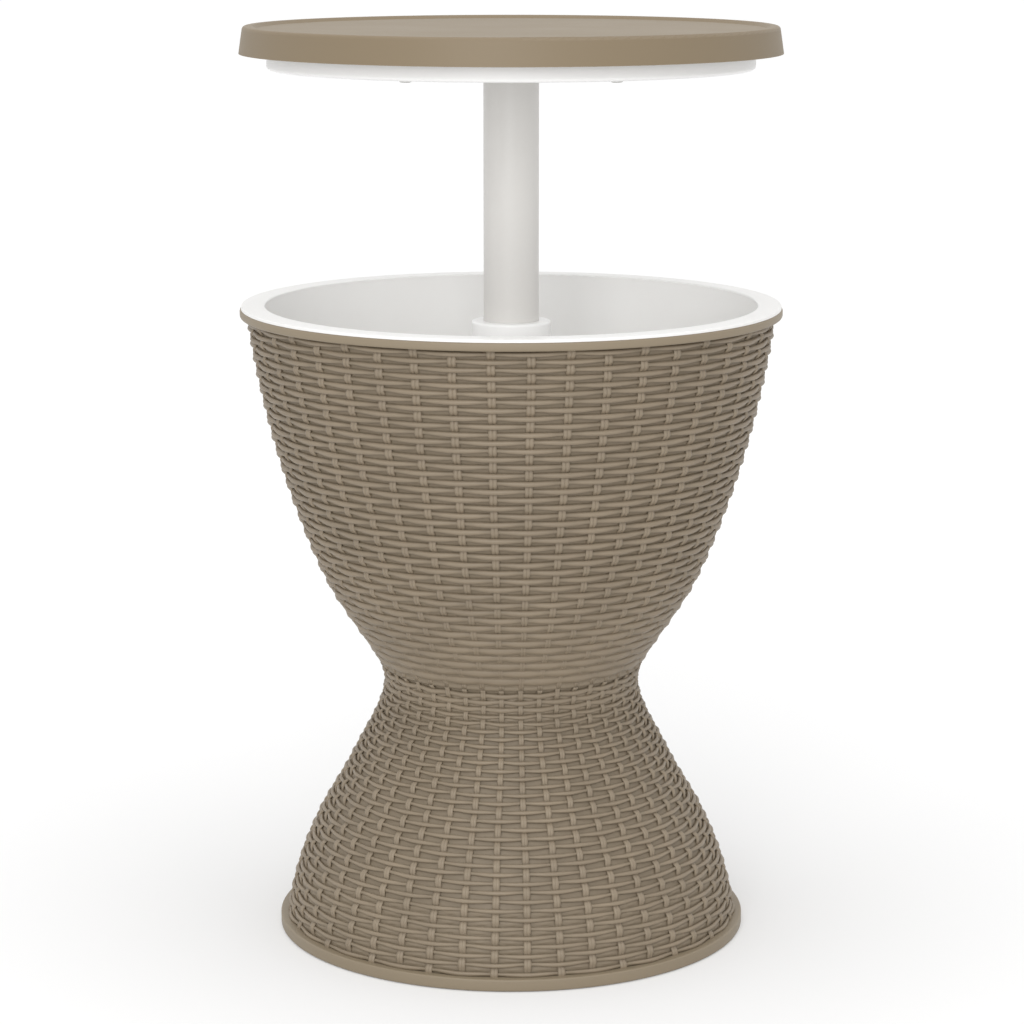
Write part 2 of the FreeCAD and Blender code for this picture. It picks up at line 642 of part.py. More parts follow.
# Cam pinned into the post's lower end: its lobes spread the sleeve when the lid is turned
def lock_cam():
    spigot_r = POST_R - POST_WALL - CAM_SPIGOT_PLAY
    solids = [rod(spigot_r, POST_BOTTOM, POST_BOTTOM + CAM_SPIGOT_H), rod(POST_R, JOURNAL_TOP, POST_BOTTOM),
              rod(CAM_CORE_R, JOURNAL_BOTTOM, JOURNAL_TOP)]
    for angle in around(RAIL_COUNT, LOBE_STEP / 2):
        x, y = polar(CAM_LOBE_OFFSET, angle)
        solids.append(rod(CAM_LOBE_R, JOURNAL_BOTTOM, JOURNAL_TOP, x, y))
    cam = joined(solids)
    cam = cam.cut(cross_rod(CAM_PIN_R, POST_R))
    return cam.cut(rod(SCREW_PILOT_R, JOURNAL_BOTTOM, JOURNAL_BOTTOM + SCREW_BITE + PILOT_SPARE))


def cam_pin():
    return cross_rod(CAM_PIN_R, POST_R - CAM_PIN_IN)


def cam_washer():
    return ring(WASHER_R, SCREW_HOLE_R, WASHER_BOTTOM, JOURNAL_BOTTOM)


def cam_screw():
    return screw_up(WASHER_T + SCREW_BITE, 0, 0, WASHER_BOTTOM)


# Lock sleeve: a closed ring at the top, and below it three fingers between slits that ride on the rails
def lock_sleeve():
    sleeve = ring(BUSH_R, SLEEVE_BORE_R, SLEEVE_BOTTOM, SLEEVE_TOP)
    slit_half = RAIL_W / 2 + FIT_PLAY
    notch_r = COLUMN_BORE_R - RAIL_H - FIT_PLAY
    for angle in around(RAIL_COUNT):
        x, y = polar(CAM_LOBE_OFFSET + SLEEVE_POCKET_DEPTH, angle)
        sleeve = sleeve.cut(rod(CAM_LOBE_R + GUIDE_PLAY, SLEEVE_BOTTOM, SLEEVE_TOP - SLEEVE_RING_H, x, y))
        slit = box(0, COLUMN_R, -slit_half, slit_half, SLEEVE_BOTTOM, SLEEVE_TOP - SLEEVE_RING_H)
        notch = box(notch_r, COLUMN_R, -slit_half, slit_half, SLEEVE_TOP - SLEEVE_RING_H, SLEEVE_TOP)
        sleeve = sleeve.cut(spun(slit, angle)).cut(spun(notch, angle))
    return sleeve


# Flanged spout through the bucket's floor
def drain_spout():
    flange_bottom = SPOUT_TOP - DRAIN_FLANGE_T
    flange = rod(DRAIN_FLANGE_R, flange_bottom, SPOUT_TOP, DRAIN_X)
    spout = joined([flange, rod(DRAIN_BARREL_R, SPOUT_BOTTOM, flange_bottom, DRAIN_X)])
    return spout.cut(rod(DRAIN_BORE_R, SPOUT_BOTTOM, SPOUT_TOP, DRAIN_X))


def drain_gasket():
    return ring(DRAIN_FLANGE_R, DRAIN_BARREL_R, WELL_FLOOR, WELL_FLOOR + DRAIN_GASKET_T, DRAIN_X)


def drain_nut():
    nut = hexagon(NUT_FLATS, WELL_BOTTOM - NUT_T, WELL_BOTTOM, DRAIN_X)
    return nut.cut(rod(DRAIN_BARREL_R + NUT_PLAY, WELL_BOTTOM - NUT_T, WELL_BOTTOM, DRAIN_X))


# Rubber plug: stopper with a tapered tip, head on the spout's flange, finger tab with a hole
def drain_plug():
    seat = SPOUT_TOP + STOPPER_SEAT_GAP
    stopper_r = DRAIN_BORE_R - STOPPER_PLAY
    head_top = seat + STOPPER_HEAD_T
    body = turned([(0, seat - STOPPER_H), (stopper_r - STOPPER_TIP_IN, seat - STOPPER_H),
                   (stopper_r, seat - STOPPER_H + STOPPER_TIP_H), (stopper_r, seat), (STOPPER_HEAD_R, seat),
                   (STOPPER_HEAD_R, head_top), (0, head_top)])
    body = rounded(body, STOPPER_HEAD_T / 3, STOPPER_HEAD_R, head_top)
    tab_centre = head_top + TAB_H - TAB_W / 2
    tab = box(-TAB_W / 2, TAB_W / 2, -TAB_T / 2, TAB_T / 2, head_top - STOPPER_HEAD_T / 2, tab_centre)
    tab_end = Part.makeCylinder(TAB_W / 2, TAB_T, Vector(0, -TAB_T / 2, tab_centre), Vector(0, 1, 0))
    hole = Part.makeCylinder(TAB_HOLE_R, TAB_T, Vector(0, -TAB_T / 2, tab_centre), Vector(0, 1, 0))
    plug = joined([body, tab, tab_end]).cut(hole)
    plug.translate(Vector(DRAIN_X, 0, 0))
    return plug


PIECES = {
    "base_shell": base_shell,
    "upper_shell": upper_shell,
    "bucket_liner": bucket_liner,
    "guide_column": guide_column,
    "column_collar": column_collar,
    "waist_screws": waist_screws,
    "drain_spout": drain_spout,
    "drain_gasket": drain_gasket,
    "drain_nut": drain_nut,
    "drain_plug": drain_plug,
    "lock_sleeve": lock_sleeve,
    "lock_cam": lock_cam,
    "cam_pin": cam_pin,
    "cam_washer": cam_washer,
    "cam_screw": cam_screw,
    "lift_post": lift_post,
    "post_flange": post_flange,
    "post_screws": post_screws,
    "post_ring": post_ring,
    "lid_liner": lid_liner,
    "lid_screws": lid_screws,
    "table_top": table_top,
}

os.makedirs("parts", exist_ok=True)
for name, make in PIECES.items():
    piece = make()
    piece.exportStep("parts/" + name + ".step")
    print(name, "solids", len(piece.Solids), "valid", piece.isValid(), "volume", round(piece.Volume))
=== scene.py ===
import math
import bmesh
import bpy
import numpy as np
from mathutils import Matrix, Vector


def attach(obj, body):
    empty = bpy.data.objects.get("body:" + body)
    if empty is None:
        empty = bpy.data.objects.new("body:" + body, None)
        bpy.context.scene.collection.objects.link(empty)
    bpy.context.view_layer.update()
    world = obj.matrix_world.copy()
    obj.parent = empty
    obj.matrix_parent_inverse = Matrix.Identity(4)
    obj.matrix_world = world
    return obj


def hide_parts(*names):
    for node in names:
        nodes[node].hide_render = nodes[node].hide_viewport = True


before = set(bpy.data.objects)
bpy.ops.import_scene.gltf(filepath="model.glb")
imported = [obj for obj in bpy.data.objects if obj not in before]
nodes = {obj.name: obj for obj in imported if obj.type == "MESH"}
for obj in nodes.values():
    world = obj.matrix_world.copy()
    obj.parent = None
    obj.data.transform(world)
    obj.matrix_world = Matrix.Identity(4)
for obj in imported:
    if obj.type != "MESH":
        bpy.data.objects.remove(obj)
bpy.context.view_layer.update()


# Base wall: the skin behind the lower weave, with the smooth foot band, the deck with its register ring,
# and eight gussets under the deck. One injection moulding in brown polypropylene, open underneath, that
# stands on its foot band. Its top edge is the lower half of the plain row over the joint.
MM = 0.001
STAKES = 44
STEPS_PER_STAKE = 4
AROUND = STEPS_PER_STAKE * STAKES
ROUND_STEPS = 4

# The line through the weave's crests, from the foot up to the rim: heights and radii in millimetres.
CREST_Z = np.array([0, 6.8, 33.8, 67.5, 101.2, 135, 162, 184.5, 202.5, 216, 229.5, 247.5, 270, 292.5,
                    326.2, 360, 405, 450, 483.8, 517.5, 531])
CREST_R = np.array([196.2, 194.8, 189.4, 178.8, 163.4, 143.7, 129.5, 117.6, 111.0, 109.9, 114.0, 124.7,
                    139.7, 153.7, 169.2, 182.0, 196.5, 208.0, 215.0, 220.4, 222.2])
CREST_SLOPE = np.gradient(CREST_R, CREST_Z)


def crest(z):
    """Radius and slope of the line through the weave's crests at a height, in millimetres."""
    place = int(np.clip(np.searchsorted(CREST_Z, z) - 1, 0, len(CREST_Z) - 2))
    span = CREST_Z[place + 1] - CREST_Z[place]
    part = (z - CREST_Z[place]) / span
    low, high = CREST_R[place], CREST_R[place + 1]
    low_slope, high_slope = CREST_SLOPE[place] * span, CREST_SLOPE[place + 1] * span
    bend_low = low_slope - (high - low)
    bend_high = (high - low) - high_slope
    radius = low + part * (high - low) + part * (1 - part) * ((1 - part) * bend_low + part * bend_high)
    slope = (high - low + (1 - 2 * part) * ((1 - part) * bend_low + part * bend_high)
             + part * (1 - part) * (bend_high - bend_low)) / span
    return radius, slope


def on_wall(z, out):
    """Radius and height of the point that lies out millimetres outside the crest line at a height."""
    radius, slope = crest(z)
    size = math.hypot(1, slope)
    return radius + out / size, z - out * slope / size


def turned(outline):
    """Closed bmesh turned about the upright axis from a closed outline of (radius, height) in millimetres."""
    mesh = bmesh.new()
    corners = [mesh.verts.new((0, -radius * MM, z * MM)) for radius, z in outline]
    edges = [mesh.edges.new((corners[place - 1], corners[place])) for place in range(len(corners))]
    bmesh.ops.spin(mesh, geom=corners + edges, axis=(0, 0, 1), cent=(0, 0, 0), steps=AROUND,
                   angle=math.tau, use_merge=True)
    return mesh


def rounded(corner, radius, start):
    """Quarter round of an outline about a centre, from a start angle in degrees."""
    points = []
    for step in range(ROUND_STEPS + 1):
        angle = math.radians(start + 90 * step / ROUND_STEPS)
        points.append((corner[0] + radius * math.cos(angle), corner[1] + radius * math.sin(angle)))
    return points


def linked(name, mesh):
    """Object made of a bmesh and linked to the scene."""
    data = bpy.data.meshes.new(name)
    mesh.to_mesh(data)
    mesh.free()
    thing = bpy.data.objects.new(name, data)
    bpy.context.scene.collection.objects.link(thing)
    return thing


def piece(name, mesh, body, material, sharp=35):
    """Object made of a bmesh, smooth but for its sharp edges, which rides on a body."""
    bmesh.ops.recalc_face_normals(mesh, faces=mesh.faces)
    thing = linked(name, mesh)
    thing.data.shade_smooth()
    thing.data.set_sharp_from_angle(angle=math.radians(sharp))
    thing.data.materials.append(material)
    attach(thing, body)
    return thing


def new_material(name):
    """Empty node material with a Principled shader."""
    material = bpy.data.materials.new(name)
    material.use_nodes = True
    return material, material.node_tree.nodes["Principled BSDF"]


def add_node(tree, kind, **values):
    """Shader node with its named inputs set, an underscore standing for a space in a name."""
    made = tree.nodes.new("ShaderNode" + kind)
    for label, value in values.items():
        made.inputs[label.replace("_", " ")].default_value = value
    return made


def wire(tree, source, output, target, socket):
    """Joins two sockets, each named or numbered."""
    tree.links.new(source.outputs[output], target.inputs[socket])


def group_of(name, inputs, outputs):
    """Shader node group with named sockets."""
    tree = bpy.data.node_groups.new(name, "ShaderNodeTree")
    for label, kind, value in inputs:
        socket = tree.interface.new_socket(name=label, in_out="INPUT", socket_type=kind)
        socket.default_value = value
    for label, kind in outputs:
        tree.interface.new_socket(name=label, in_out="OUTPUT", socket_type=kind)
    return tree, tree.nodes.new("NodeGroupInput"), tree.nodes.new("NodeGroupOutput")


def skinned(material, shader, group, **values):
    """Places a node group in a material, with its own values, and feeds the shader from it."""
    tree = material.node_tree
    skin = tree.nodes.new("ShaderNodeGroup")
    skin.node_tree = group
    for label, value in values.items():
        skin.inputs[label].default_value = value
    for output, socket in (("Colour", "Base Color"), ("Roughness", "Roughness"), ("Normal", "Normal")):
        wire(tree, skin, output, shader, socket)
    return skin


# Sockets of a Mix node that mixes colours.
MIX_FIRST = 6
MIX_SECOND = 7
MIX_RESULT = 2


def moulded_grain():
    """Fine spark-eroded grain and slow colour drift of a moulded plastic face."""
    tree, given, result = group_of("moulded_grain", [
        ("Colour", "NodeSocketColor", (0.5, 0.5, 0.5, 1)), ("Shade", "NodeSocketColor", (0.4, 0.4, 0.4, 1)),
        ("Grain", "NodeSocketFloat", 900.0), ("Depth", "NodeSocketFloat", 0.1),
        ("Smooth", "NodeSocketFloat", 0.3), ("Rough", "NodeSocketFloat", 0.5)],
        [("Colour", "NodeSocketColor"), ("Roughness", "NodeSocketFloat"), ("Normal", "NodeSocketVector")])
    place = add_node(tree, "TexCoord")
    drift = add_node(tree, "TexNoise", Scale=9, Detail=4)
    wire(tree, place, "Object", drift, "Vector")
    grain = add_node(tree, "TexNoise", Detail=3)
    wire(tree, place, "Object", grain, "Vector")
    wire(tree, given, "Grain", grain, "Scale")
    blend = add_node(tree, "Math")
    blend.operation = "MULTIPLY"
    wire(tree, drift, "Fac", blend, 0)
    wire(tree, grain, "Fac", blend, 1)
    tint = add_node(tree, "Mix")
    tint.data_type = "RGBA"
    wire(tree, blend, 0, tint, 0)
    wire(tree, given, "Colour", tint, MIX_FIRST)
    wire(tree, given, "Shade", tint, MIX_SECOND)
    polish = add_node(tree, "MapRange")
    wire(tree, drift, "Fac", polish, "Value")
    wire(tree, given, "Smooth", polish, "To Min")
    wire(tree, given, "Rough", polish, "To Max")
    bump = add_node(tree, "Bump", Distance=0.0004)
    wire(tree, given, "Depth", bump, "Strength")
    wire(tree, grain, "Fac", bump, "Height")
    wire(tree, tint, MIX_RESULT, result, "Colour")
    wire(tree, polish, 0, result, "Roughness")
    wire(tree, bump, 0, result, "Normal")
    return tree


GRAIN = moulded_grain()


def plastic(name, colour, shade, grain, depth, smooth, rough, gloss=0.5):
    """Moulded plastic whose colour drifts to a darker shade and whose roughness drifts with it."""
    material, shader = new_material(name)
    shader.inputs["Specular IOR Level"].default_value = gloss
    skinned(material, shader, GRAIN, Colour=(*colour, 1), Shade=(*shade, 1), Grain=grain, Depth=depth,
            Smooth=smooth, Rough=rough)
    return material


# The rows of a weave: the height of their upper edge, how far they drop from there, how many they are,
# how much they widen on the way down, and which stakes the top row passes over.
BASE_ROWS = {"top": 224.0, "drop": 215.4, "count": 34, "ease": 0.163, "start": 1}
BASE_SKIN_IN = 4.7
SKIN_LOW_ROW = 33.2
SKIN_TOP_ROW = -0.3
SKIN_STEPS = 4
WALL_IN = 6.3
INSIDE_STEPS = 22
FOOT_R = 198.4
FOOT_BAND_H = 10.0
FOOT_ROUND = 1.4
DECK_BOTTOM = 223.0
DECK_TOP = 227.0
NECK_R = 82.0
REGISTER_IN_R = 96.0
REGISTER_OUT_R = 100.0
REGISTER_H = 2.5
SEAM = 0.05
JOINT_ROW_Z = 227.6
JOINT_ROW_HALF = 2.5
JOINT_ROW_DEPTH = 2.5
JOINT_ROW_STEPS = 5
SWELL = 2.1
SWELL_LOW_Z = 12.0
SWELL_TOP_Z = 222.0
SKIN_MARGIN = 0.6
GUSSETS = 8
GUSSET_THICK = 3.0
GUSSET_TOP_Z = 223.5
GUSSET_IN_R = NECK_R + 2
GUSSET_OUT_R = 105.0
GUSSET_BEND_Z = 200.0
GUSSET_TIP_Z = 181.0
GUSSET_TIP_OUT_R = 113.4
GUSSET_TIP_IN_R = 110.8


def row_height(rows, row):
    """Height of a strand's middle, counted from the top row, in millimetres."""
    share = (row + 0.5) / rows["count"]
    return rows["top"] - rows["drop"] * share * (1 - rows["ease"] + rows["ease"] * share)


def row_at(rows, z):
    """Row, with its fraction, that a height falls on."""
    flat = 1 - rows["ease"]
    root = math.sqrt(max(flat * flat + 4 * rows["ease"] * (rows["top"] - z) / rows["drop"], 0))
    return rows["count"] * (root - flat) / (2 * rows["ease"]) - 0.5


def stake_at(x, y):
    """Stake, with its fraction, that a place on the wall falls on. The front lies half-way between two."""
    return math.atan2(x, -y) * STAKES / math.tau - 0.5


def joint_row(from_z, to_z):
    """Outline of the part of the plain row over the joint that lies between two heights."""
    first = math.acos((JOINT_ROW_Z - from_z) / JOINT_ROW_HALF)
    last = math.acos((JOINT_ROW_Z - to_z) / JOINT_ROW_HALF)
    points = []
    for step in range(JOINT_ROW_STEPS + 1):
        turn = first + (last - first) * step / JOINT_ROW_STEPS
        points.append(on_wall(JOINT_ROW_Z - JOINT_ROW_HALF * math.cos(turn),
                              JOINT_ROW_DEPTH * math.sin(turn) - BASE_SKIN_IN))
    return points


base_outline = rounded((FOOT_R - FOOT_ROUND, FOOT_ROUND), FOOT_ROUND, -90)
base_outline += rounded((FOOT_R - FOOT_ROUND, FOOT_BAND_H - FOOT_ROUND), FOOT_ROUND, 0)
for step in range(round((SKIN_LOW_ROW - SKIN_TOP_ROW) * SKIN_STEPS) + 1):
    base_outline.append(on_wall(row_height(BASE_ROWS, SKIN_LOW_ROW - step / SKIN_STEPS), -BASE_SKIN_IN))
base_outline += joint_row(JOINT_ROW_Z - JOINT_ROW_HALF, DECK_TOP - SEAM)
base_outline += [(REGISTER_OUT_R, DECK_TOP - SEAM), (REGISTER_OUT_R, DECK_TOP + REGISTER_H)]
base_outline += [(REGISTER_IN_R, DECK_TOP + REGISTER_H), (REGISTER_IN_R, DECK_TOP)]
base_outline += [(NECK_R, DECK_TOP), (NECK_R, DECK_BOTTOM)]
for step in range(INSIDE_STEPS + 1):
    base_outline.append(on_wall(DECK_BOTTOM * (1 - step / INSIDE_STEPS), -WALL_IN))
base_outline[-1] = (base_outline[-1][0], 0)
base_wall_mesh = turned(base_outline)

# The skin swells into the gaps between the strands and the stakes.
for vert in base_wall_mesh.verts:
    radius = math.hypot(vert.co.x, vert.co.y) / MM
    z = vert.co.z / MM
    skin = on_wall(z, -BASE_SKIN_IN)[0]
    if SWELL_LOW_Z < z < SWELL_TOP_Z and abs(radius - skin) < SKIN_MARGIN:
        gap = math.sin(math.pi * stake_at(vert.co.x, vert.co.y)) ** 2
        between = math.sin(math.pi * row_at(BASE_ROWS, z)) ** 2
        swell = SWELL * gap * between * MM
        vert.co.x += swell * vert.co.x / (radius * MM)
        vert.co.y += swell * vert.co.y / (radius * MM)

# Each gusset is a thin web under the deck that follows the wall down to its tip.
gusset_outline = [(GUSSET_IN_R, GUSSET_TOP_Z), (GUSSET_OUT_R, GUSSET_TOP_Z), (GUSSET_OUT_R, GUSSET_BEND_Z),
                  (GUSSET_TIP_OUT_R, GUSSET_TIP_Z), (GUSSET_TIP_IN_R, GUSSET_TIP_Z)]
web = [base_wall_mesh.verts.new((GUSSET_THICK / 2 * MM, -radius * MM, z * MM))
       for radius, z in gusset_outline]
web_face = base_wall_mesh.faces.new(web)
grown = bmesh.ops.extrude_face_region(base_wall_mesh, geom=[web_face])
far_side = [item for item in grown["geom"] if isinstance(item, bmesh.types.BMVert)]
bmesh.ops.translate(base_wall_mesh, verts=far_side, vec=(-GUSSET_THICK * MM, 0, 0))
gusset = web + far_side
bmesh.ops.rotate(base_wall_mesh, verts=gusset, cent=(0, 0, 0),
                 matrix=Matrix.Rotation(math.pi / GUSSETS, 3, "Z"))
gusset_faces = list({face for vert in gusset for face in vert.link_faces})
gusset_geom = gusset + list({edge for vert in gusset for edge in vert.link_edges}) + gusset_faces
bmesh.ops.spin(base_wall_mesh, geom=gusset_geom, axis=(0, 0, 1), cent=(0, 0, 0), steps=GUSSETS - 1,
               angle=math.tau * (GUSSETS - 1) / GUSSETS, use_duplicate=True)
# The skin is painted darker than the strands and stakes of the same moulding: painted shade for the gaps
# between them.
PAINTED_SHADE_BASE_SKIN = plastic("base_skin_painted_shade", (0.229, 0.181, 0.124), (0.19, 0.151, 0.101),
                    grain=1400, depth=0.25, smooth=0.5, rough=0.66)
base_wall = piece("base_wall", base_wall_mesh, "cooler", PAINTED_SHADE_BASE_SKIN)
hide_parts("base_shell")


# Base weave strands: 34 rows of round cane that pass over every second stake, each row the other way.
# They are moulded in one with the wall; the wave of each row follows the 44 stakes.
STRAND_OUT = -3.3
STRAND_SIDES = 8
STRAND_SWELL = 0.08
SMOOTH_ALL = 180


def ramp(z, zero_at, one_at):
    """Share that goes from 0 at one height to 1 at another and stays level beyond them."""
    return min(max((z - zero_at) / (one_at - zero_at), 0), 1)


def strand_drift(stake, row):
    """How far a strand strays from the middle of its row, in millimetres."""
    return 0.18 * math.sin(stake * 0.9 + row * 2.4) + 0.12 * math.sin(stake * 2.1 - row * 1.7)


def strands(rows, share, half_depth, reach, dip):
    """Ring of cane for each row, spun from an oval and then waved over and under the stakes."""
    mesh = bmesh.new()
    number = mesh.verts.layers.int.new("number")
    laid = []
    for row in range(rows["count"]):
        z = row_height(rows, row)
        slope = crest(z)[1]
        pitch = (row_height(rows, row - 0.5) - z) * 2 * math.hypot(1, slope)
        centre = on_wall(z, STRAND_OUT)
        laid.append((centre, slope, math.hypot(1, slope), reach(z)))
        oval = bmesh.ops.create_circle(mesh, radius=1, segments=STRAND_SIDES)["verts"]
        across = share(z) * pitch * MM
        shape = (Matrix.Translation((0, -centre[0] * MM, centre[1] * MM))
                 @ Matrix.Rotation(math.atan(slope), 4, "X")
                 @ Matrix(((0, 0, 1, 0), (half_depth * MM, 0, 0, 0), (0, across, 0, 0), (0, 0, 0, 1))))
        bmesh.ops.transform(mesh, matrix=shape, verts=oval)
        for vert in oval:
            vert[number] = row
    bmesh.ops.spin(mesh, geom=mesh.verts[:] + mesh.edges[:], axis=(0, 0, 1), cent=(0, 0, 0), steps=AROUND,
                   angle=math.tau, use_merge=True)
    over = mesh.verts.layers.float.new("over")
    for vert in mesh.verts:
        row = vert[number]
        centre, slope, size, swing = laid[row]
        stake = stake_at(vert.co.x, vert.co.y)
        wave = math.cos(math.pi * (stake + row + rows["start"]))
        drift = strand_drift(stake, row)
        radius = math.hypot(vert.co.x, vert.co.y)
        side = ((radius / MM - centre[0]) * slope + (vert.co.z / MM - centre[1])) / size
        front = ((radius / MM - centre[0]) - (vert.co.z / MM - centre[1]) * slope) / size
        side = side * (1 + STRAND_SWELL * wave) + drift - dip * (1 + 2 * drift) * wave
        front = front + swing * wave + 0.5 * drift
        new_radius = centre[0] + (front + side * slope) / size
        # The over attribute is 1 where the strand passes over a stake and 0 where it dives under; the cane
        # material paints shade from it.
        vert[over] = 0.5 + 0.5 * wave * min(swing, 1)
        vert.co.x *= new_radius * MM / radius
        vert.co.y *= new_radius * MM / radius
        vert.co.z = (centre[1] + (side - front * slope) / size) * MM
    mesh.verts.layers.int.remove(number)
    return mesh


def cane_grain_and_dive_shade():
    """Long fine streaks of an extruded cane, with painted shade where it dives under its neighbour."""
    tree, given, result = group_of("cane_grain_and_dive_shade", [
        ("Crest", "NodeSocketColor", (0.35, 0.29, 0.2, 1)), ("Dive", "NodeSocketColor", (0.2, 0.16, 0.1, 1)),
        ("Over", "NodeSocketFloat", 0.5), ("Stretch", "NodeSocketVector", (6, 6, 260)),
        ("Depth", "NodeSocketFloat", 0.25)],
        [("Colour", "NodeSocketColor"), ("Roughness", "NodeSocketFloat"), ("Normal", "NodeSocketVector")])
    place = add_node(tree, "TexCoord")
    pull = add_node(tree, "VectorMath")
    pull.operation = "MULTIPLY"
    wire(tree, place, "Object", pull, 0)
    wire(tree, given, "Stretch", pull, 1)
    streak = add_node(tree, "TexNoise", Scale=4, Detail=5, Roughness=0.6)
    wire(tree, pull, 0, streak, "Vector")
    patch = add_node(tree, "TexNoise", Scale=24, Detail=2)
    wire(tree, place, "Object", patch, "Vector")
    lift = add_node(tree, "MapRange", From_Max=0.55)
    lift.interpolation_type = "SMOOTHSTEP"
    wire(tree, given, "Over", lift, "Value")
    # Painted shade: the colour goes from the crest colour to the darker dive colour where the cane goes
    # under.
    body = add_node(tree, "Mix")
    body.data_type = "RGBA"
    wire(tree, lift, 0, body, 0)
    wire(tree, given, "Dive", body, MIX_FIRST)
    wire(tree, given, "Crest", body, MIX_SECOND)
    sum_up = add_node(tree, "Math")
    sum_up.operation = "MULTIPLY_ADD"
    sum_up.inputs[1].default_value = 0.6
    wire(tree, streak, "Fac", sum_up, 0)
    wire(tree, patch, "Fac", sum_up, 2)
    tone = add_node(tree, "MapRange", From_Min=0.45, From_Max=1.15, To_Min=0.88, To_Max=1.1)
    wire(tree, sum_up, 0, tone, "Value")
    shade = add_node(tree, "VectorMath")
    shade.operation = "SCALE"
    wire(tree, body, MIX_RESULT, shade, 0)
    wire(tree, tone, 0, shade, "Scale")
    polish = add_node(tree, "MapRange", To_Min=0.42, To_Max=0.6)
    wire(tree, streak, "Fac", polish, "Value")
    bump = add_node(tree, "Bump", Distance=0.0003)
    wire(tree, given, "Depth", bump, "Strength")
    wire(tree, streak, "Fac", bump, "Height")
    wire(tree, shade, 0, result, "Colour")
    wire(tree, polish, 0, result, "Roughness")
    wire(tree, bump, 0, result, "Normal")
    return tree


CANE = cane_grain_and_dive_shade()


def cane(name, crest_colour, dive_shade_colour, stretch):
    """Brown cane with streaks along its run, and painted shade where it dives, read from its over attribute.
    """
    material, shader = new_material(name)
    skin = skinned(material, shader, CANE, Crest=(*crest_colour, 1), Dive=(*dive_shade_colour, 1), Stretch=stretch)
    height = add_node(material.node_tree, "Attribute")
    height.attribute_name = "over"
    wire(material.node_tree, height, "Fac", skin, "Over")
    return material


def closed_up(z):
    """1 in the three rows under the joint, which lie close together, and 0 from the next row down."""
    return ramp(z, 205, 210)


def base_strand_share(z):
    """Half a base strand's height as a share of its row's: fuller at the waist, thin towards the foot."""
    return 0.235 + 0.06 * ramp(z, 150, 224) + 0.1 * closed_up(z)


def base_strand_reach(z):
    """How far a base strand swings in and out, in millimetres: less under the joint."""
    return 0.9 - 0.4 * closed_up(z)


# The second colour of each cane is painted shade, for where it dives under its neighbour.
STRAND_CANE = cane("strand_cane", (0.254, 0.201, 0.139), (0.222, 0.176, 0.12), stretch=(5, 5, 240))
base_strands = strands(BASE_ROWS, base_strand_share, half_depth=1.65, reach=base_strand_reach, dip=0.4)
piece("base_strands", base_strands, "cooler", STRAND_CANE, sharp=SMOOTH_ALL)


# Base stakes: 44 upright pairs of thin canes that the strands weave round, from the foot to the joint.
# Each pair lies in front where the strand dives and drops back where the next strand passes over it.
STAKE_OUT = STRAND_OUT - 0.4
STAKE_WAVE = 1.2
STAKE_HALF_DEPTH = 1.15
STAKE_SIDES = 6
STAKE_STEPS = 3
STAKE_LEVEL_ROWS = 0.45
STAKE_MERGE = 0.02
WAIST_R = 110.0
WAIST_STAKE_W = 4.6
STAKE_W_GAIN = 3.0


def stake_width(radius):
    """Width of a pair of canes, which closes in with the wall at the waist."""
    return WAIST_STAKE_W + (radius - WAIST_R) * STAKE_W_GAIN / WAIST_R


def stakes(rows, first, last, level_row, apart):
    """Pairs of canes from a first to a last row, each laid as a strip, rolled up and bent onto the wall.

    Round the level row, at the joint, the wave dies out and all canes stand in front.
    """
    mesh = bmesh.new()
    over = mesh.verts.layers.float.new("over")
    steps = round((last - first) * STAKE_STEPS)
    levels = []
    for step in range(steps + 1):
        row = first + (last - first) * step / steps
        z = row_height(rows, row)
        levels.append((row, z, *crest(z), math.exp(-((row - level_row) / STAKE_LEVEL_ROWS) ** 2)))
    for stake in range(STAKES):
        for side in (-1, 1):
            strip = bmesh.ops.create_grid(mesh, x_segments=STAKE_SIDES, y_segments=steps, size=0.5)["verts"]
            for vert in strip:
                row, z, line, slope, at_joint = levels[round((vert.co.y + 0.5) * steps)]
                turn = vert.co.x * math.tau
                wave = -math.cos(math.pi * (row + stake + rows["start"]))
                wave = wave + (1 - wave) * at_joint
                out = STAKE_OUT + STAKE_WAVE * wave + STAKE_HALF_DEPTH * math.cos(turn)
                size = math.hypot(1, slope)
                radius, height = line + out / size, z - out * slope / size
                width = stake_width(radius)
                drift = 0.25 * math.sin(row * 0.35 + stake * 2.3)
                shift = side * width * apart + width * (0.5 - apart) * math.sin(turn) + drift
                angle = (stake + 0.5) * math.tau / STAKES + shift / radius
                vert.co = (radius * MM * math.sin(angle), -radius * MM * math.cos(angle), height * MM)
                # The over attribute is 1 where the canes stand in front and 0 where they drop back behind a
                # strand; the cane material paints shade from it.
                vert[over] = 0.5 + 0.5 * wave
    bmesh.ops.remove_doubles(mesh, verts=mesh.verts, dist=STAKE_MERGE * MM)
    bmesh.ops.holes_fill(mesh, edges=mesh.edges, sides=STAKE_SIDES)
    return mesh


STAKE_CANE = cane("stake_cane", (0.264, 0.21, 0.147), (0.228, 0.181, 0.125), stretch=(260, 260, 6))
base_stakes = stakes(BASE_ROWS, first=-1.0, last=33.8, level_row=-1.0, apart=0.17)
piece("base_stakes", base_stakes, "cooler", STAKE_CANE, sharp=SMOOTH_ALL)


